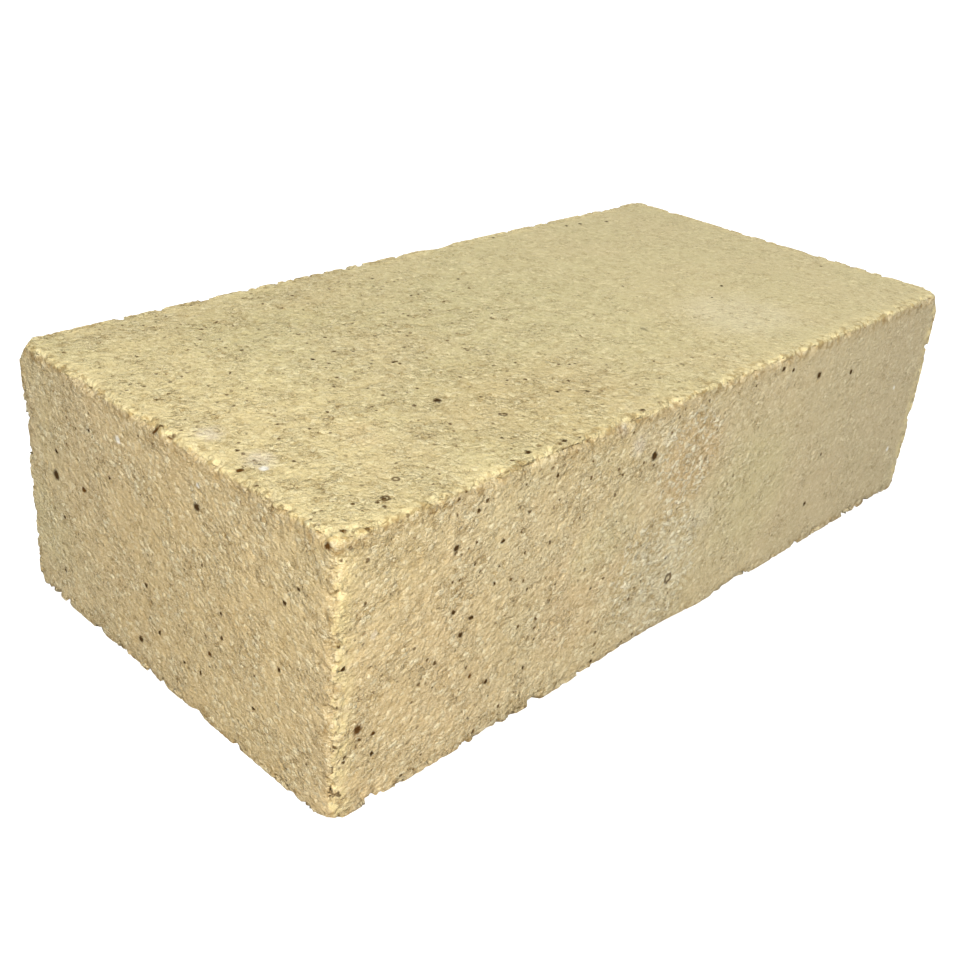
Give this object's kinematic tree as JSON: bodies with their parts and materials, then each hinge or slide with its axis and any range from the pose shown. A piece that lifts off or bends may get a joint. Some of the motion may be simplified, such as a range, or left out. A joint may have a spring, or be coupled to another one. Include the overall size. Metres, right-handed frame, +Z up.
{
  "type": "firebrick",
  "caption": "Plain solid rectangular firebrick with flat faces, rubbed arrises and slightly broken corners, lying on its bed.",
  "frame": {"origin": "middle of the lower bed, at the bottom centre of the brick's box", "axes": "+X along the length, +Y across the width, +Z up through the thickness, away from the lower bed"},
  "size_m": [0.23, 0.114, 0.065],
  "materials": {
    "fired_clay": "matt unglazed buff fireclay, sandy grain with small dark iron spots and paler grog"
  },
  "bodies": {
    "root": {"brick": "fired_clay"}
  },
  "joints": []
}
